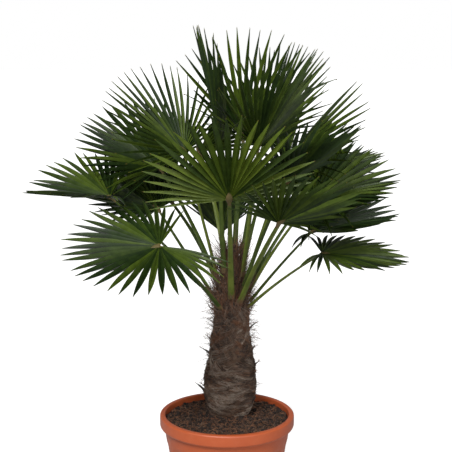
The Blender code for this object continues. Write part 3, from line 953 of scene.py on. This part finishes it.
def thread(shape, rng, brim):
    """A root or fibre that lies curled on the soil."""
    x, y = scattered(rng, brim, 0.95)
    way = 2.0 * math.pi * rng.random()
    length = drawn(rng, *THREAD_LENGTH, 2)
    curl = drawn(rng, -1.2, 1.2)
    points = []
    for step in range(6):
        share = step / 5
        px = x + length * share * math.cos(way + curl * share)
        py = y + length * share * math.sin(way + curl * share)
        limit = math.hypot(px, py) / (brim - 0.002)
        if limit > 1.0:
            px, py = px / limit, py / limit
        points.append(Vector((px, py, soil_height(px, py) + 0.001 + 0.003 * math.sin(math.pi * share))))
    strand(shape, points, drawn(rng, *THREAD_THICK), rng.choice((DARK, BROWN, RED, RED)))


def make_soil(rng):
    """The bed of compost down to the pot's floor, with crumbs and threads on it."""
    shape = Shape()
    brim = wall_radius(COLLAR) - WALL - GAP
    foot = wall_radius(WALL) - WALL - GAP
    around = angles(SOIL_SPOKES)
    rings = []
    for radius, height in ((foot, WALL + GAP), (brim, COLLAR)):
        rings.append([Vector((radius * math.cos(a), radius * math.sin(a), height)) for a in around])
    for step in range(SOIL_RINGS, 0, -1):
        radius = brim * step / SOIL_RINGS
        ring = []
        for angle in around:
            x, y = radius * math.cos(angle), radius * math.sin(angle)
            ring.append(Vector((x, y, soil_height(x, y))))
        rings.append(ring)
    shape.loft(rings, [0] * (len(rings) - 1))
    earth = soil_finish("soil", (0.004, 0.0024, 0.0016), (0.026, 0.013, 0.008))
    shape.piece("soil_bed", [earth], "compost", ["soil"], 60.0)

    crumbs = Shape()
    for _ in range(CRUMBS):
        crumb(crumbs, rng, brim)
    finishes = [
        soil_finish("crumb_dark", (0.005, 0.003, 0.002), (0.030, 0.016, 0.010)),
        soil_finish("crumb_brown", (0.025, 0.012, 0.007), (0.075, 0.036, 0.020)),
        soil_finish("crumb_red", (0.050, 0.020, 0.010), (0.150, 0.060, 0.028)),
    ]
    crumbs.piece("soil_crumbs", finishes, "compost", (), 50.0)

    threads = Shape()
    for _ in range(THREADS):
        thread(threads, rng, brim)
    threads.piece("soil_threads", FIBRES, "compost")


def angles(count):
    """Even steps round a circle, in radians."""
    return [2.0 * math.pi * step / count for step in range(count)]


def arc(centre_radius, centre_height, size, start, end, steps):
    """Points of a rounded edge, as (radius, height)."""
    points = []
    for step in range(steps + 1):
        angle = math.radians(between(start, end, step / steps))
        points.append((centre_radius + size * math.cos(angle), centre_height + size * math.sin(angle)))
    return points


def panel_depth(angle, height):
    """How far a panel is sunk into the wall at one place."""
    step = 2.0 * math.pi / PANELS
    off = (angle + step / 2) % step - step / 2
    half_width = math.radians(PANEL_HALF) * wall_radius(PANEL_TOP)
    across = abs(off) * wall_radius(PANEL_TOP)
    inside = half_width - across
    below = PANEL_TOP - height
    if inside < PANEL_CORNER and below < PANEL_CORNER:
        edge = PANEL_CORNER - math.hypot(PANEL_CORNER - inside, PANEL_CORNER - below)
    else:
        edge = min(inside, below)
    edge = min(edge, height - PANEL_BOTTOM)
    return PANEL_SINK * smooth_step(edge / PANEL_EDGE + 0.5)


def pot_columns():
    """Angles round the pot, closer together at the panels' sides."""
    step = 2.0 * math.pi / PANELS
    edge = math.radians(PANEL_HALF)
    inner, outer = edge * DENSE_FROM, edge * DENSE_TO
    half = []
    for column in range(SECTOR_COLUMNS // 2):
        share = column / (SECTOR_COLUMNS // 2)
        if share < FLAT_SHARE:
            half.append(inner * share / FLAT_SHARE)
        elif share < EDGE_SHARE:
            half.append(between(inner, outer, (share - FLAT_SHARE) / (EDGE_SHARE - FLAT_SHARE)))
        else:
            half.append(between(outer, step / 2, (share - EDGE_SHARE) / (1.0 - EDGE_SHARE)))
    columns = []
    for panel in range(PANELS):
        middle = panel * step
        columns += [middle - off for off in reversed(half[1:])]
        columns += [middle + off for off in half]
        columns.append(middle + step / 2)
    return columns


def make_pot():
    """The turned pot, with its eight sunk panels, from the inner floor over the rim to the underside."""
    inside = COLLAR_RADIUS - WALL
    profile = [(PROFILE_END, WALL), (wall_radius(WALL) - WALL, WALL), (inside, COLLAR)]
    profile += arc(inside + WALL, POT_HEIGHT - WALL, WALL, 180, 90, 6)
    profile += arc(RIM_RADIUS - RIM_ROUND, POT_HEIGHT - RIM_ROUND, RIM_ROUND, 90, 0, 8)
    profile += arc(RIM_RADIUS - SKIRT_ROUND, COLLAR + SKIRT_ROUND, SKIRT_ROUND, 0, -75, 8)
    wall_starts = len(profile)
    profile.append((COLLAR_RADIUS, COLLAR - SKIRT_STEP))
    for row in range(1, WALL_ROWS):
        height = between(COLLAR - SKIRT_STEP, WALL, row / WALL_ROWS)
        profile.append((wall_radius(height), height))
    profile += arc(BASE_RADIUS - WALL, WALL, WALL, 0, -90, 5)
    profile.append((PROFILE_END, 0.0))
    shape = Shape()
    rings = []
    for place, (radius, height) in enumerate(profile):
        ring = []
        for angle in pot_columns():
            sunk = panel_depth(angle, height) if place > wall_starts else 0.0
            reach = radius - sunk
            ring.append(Vector((reach * math.cos(angle), reach * math.sin(angle), height)))
        rings.append(ring)
    shape.loft(rings, [0] * (len(rings) - 1))
    shape.piece("flower_pot", [pot_finish()], "terracotta_plastic", ["pot"], 40.0)


# Which fans are joined into one piece, by the side of the crown they are on.
GROUPS = {
    "leaves_front": ("front", "front_right", "low_left"),
    "leaves_left": ("far_left", "mid_left", "left_up", "back_left", "upper_left"),
    "leaves_right": ("far_right", "low_right", "right_out", "right_back", "right_node"),
    "leaves_top": ("top_back", "top_right", "top_left", "upper_right"),
    "leaves_back": ("low_back", "behind_right", "behind_low", "behind", "behind_up"),
}


def make_crown():
    """All the stalks as one piece, and the fans as one piece for each side of the crown."""
    stalks = Shape()
    for frond in FRONDS:
        grow_stalk(frond, stalks)
        grow_hastula(frond, stalks)
    stalks.piece("leaf_stalks", STALKS, "stalk_green", ["stalk_" + frond.name for frond in FRONDS])
    trees = []
    shapes = {name: Shape() for name in GROUPS}
    home = {member: name for name, members in GROUPS.items() for member in members}
    for number, frond in enumerate(FRONDS):
        grow_fan(frond, random.Random(FAN_SEED + number), trees, shapes[home[frond.name]])
    for name, members in GROUPS.items():
        shapes[name].piece(name, list(LEAVES.values()), "leaf_green", ["fan_" + member for member in members])


def make_floor():
    """A pale floor that looks as white as the surround behind it."""
    mesh = bpy.data.meshes.new("floor")
    corners = [(-FLOOR_HALF, -FLOOR_HALF, 0), (FLOOR_HALF, -FLOOR_HALF, 0)]
    corners += [(FLOOR_HALF, FLOOR_HALF, 0), (-FLOOR_HALF, FLOOR_HALF, 0)]
    mesh.from_pydata(corners, [], [(0, 1, 2, 3)])
    floor = bpy.data.objects.new("floor", mesh)
    bpy.context.scene.collection.objects.link(floor)
    paper = Nodes("studio_paper")
    paper.shader.inputs["Base Color"].default_value = (FLOOR_GREY, FLOOR_GREY, FLOOR_GREY, 1.0)
    paper.shader.inputs["Emission Color"].default_value = (1.0, 1.0, 1.0, 1.0)
    paper.roughness(paper.ranged(paper.grain(3.0), 0.85, 0.95))
    seen = paper.add("ShaderNodeLightPath").outputs["Is Camera Ray"]
    glow = paper.add("ShaderNodeMath", operation="MULTIPLY")
    glow.inputs[1].default_value = FLOOR_GLOW
    paper.link(seen, glow.inputs[0])
    paper.link(glow.outputs[0], paper.shader.inputs["Emission Strength"])
    mesh.materials.append(paper.material)


def make_surround():
    """Dim, even light from all round, in front of a white backdrop."""
    world = bpy.data.worlds.new("studio")
    world.use_nodes = True
    tree = world.node_tree
    around = tree.nodes["Background"]
    around.inputs["Color"].default_value = (1.0, 1.0, 1.0, 1.0)
    around.inputs["Strength"].default_value = AMBIENT
    backdrop = tree.nodes.new("ShaderNodeBackground")
    backdrop.inputs["Color"].default_value = (1.0, 1.0, 1.0, 1.0)
    backdrop.inputs["Strength"].default_value = 1.0
    path = tree.nodes.new("ShaderNodeLightPath")
    mix = tree.nodes.new("ShaderNodeMixShader")
    tree.links.new(path.outputs["Is Camera Ray"], mix.inputs[0])
    tree.links.new(around.outputs[0], mix.inputs[1])
    tree.links.new(backdrop.outputs[0], mix.inputs[2])
    tree.links.new(mix.outputs[0], tree.nodes["World Output"].inputs["Surface"])
    bpy.context.scene.world = world


def make_lights():
    """One soft light from the front left and a softer one from the front right."""
    for name, azimuth, lean, soft, strength in LIGHTS:
        light = bpy.data.lights.new(name, "SUN")
        light.angle = math.radians(soft)
        light.energy = strength
        lamp = bpy.data.objects.new(name, light)
        lamp.rotation_euler = spoke(azimuth, lean).to_track_quat("Z", "Y").to_euler()
        bpy.context.scene.collection.objects.link(lamp)


def make_camera():
    """A camera at the photograph's viewing angle."""
    data = bpy.data.cameras.new("camera")
    data.sensor_width = 36.0
    data.lens = LENS
    camera = bpy.data.objects.new("camera", data)
    camera.location = CAMERA_PLACE
    camera.rotation_euler = (math.radians(90.0 - CAMERA_PITCH), 0.0, 0.0)
    bpy.context.scene.collection.objects.link(camera)
    bpy.context.scene.camera = camera


make_camera()
make_floor()
make_surround()
make_lights()
make_pot()
make_soil(random.Random(3))
make_trunk()
make_boots(random.Random(4))
make_fibres(random.Random(5))
make_crown()
bpy.context.scene.view_settings.view_transform = "Standard"
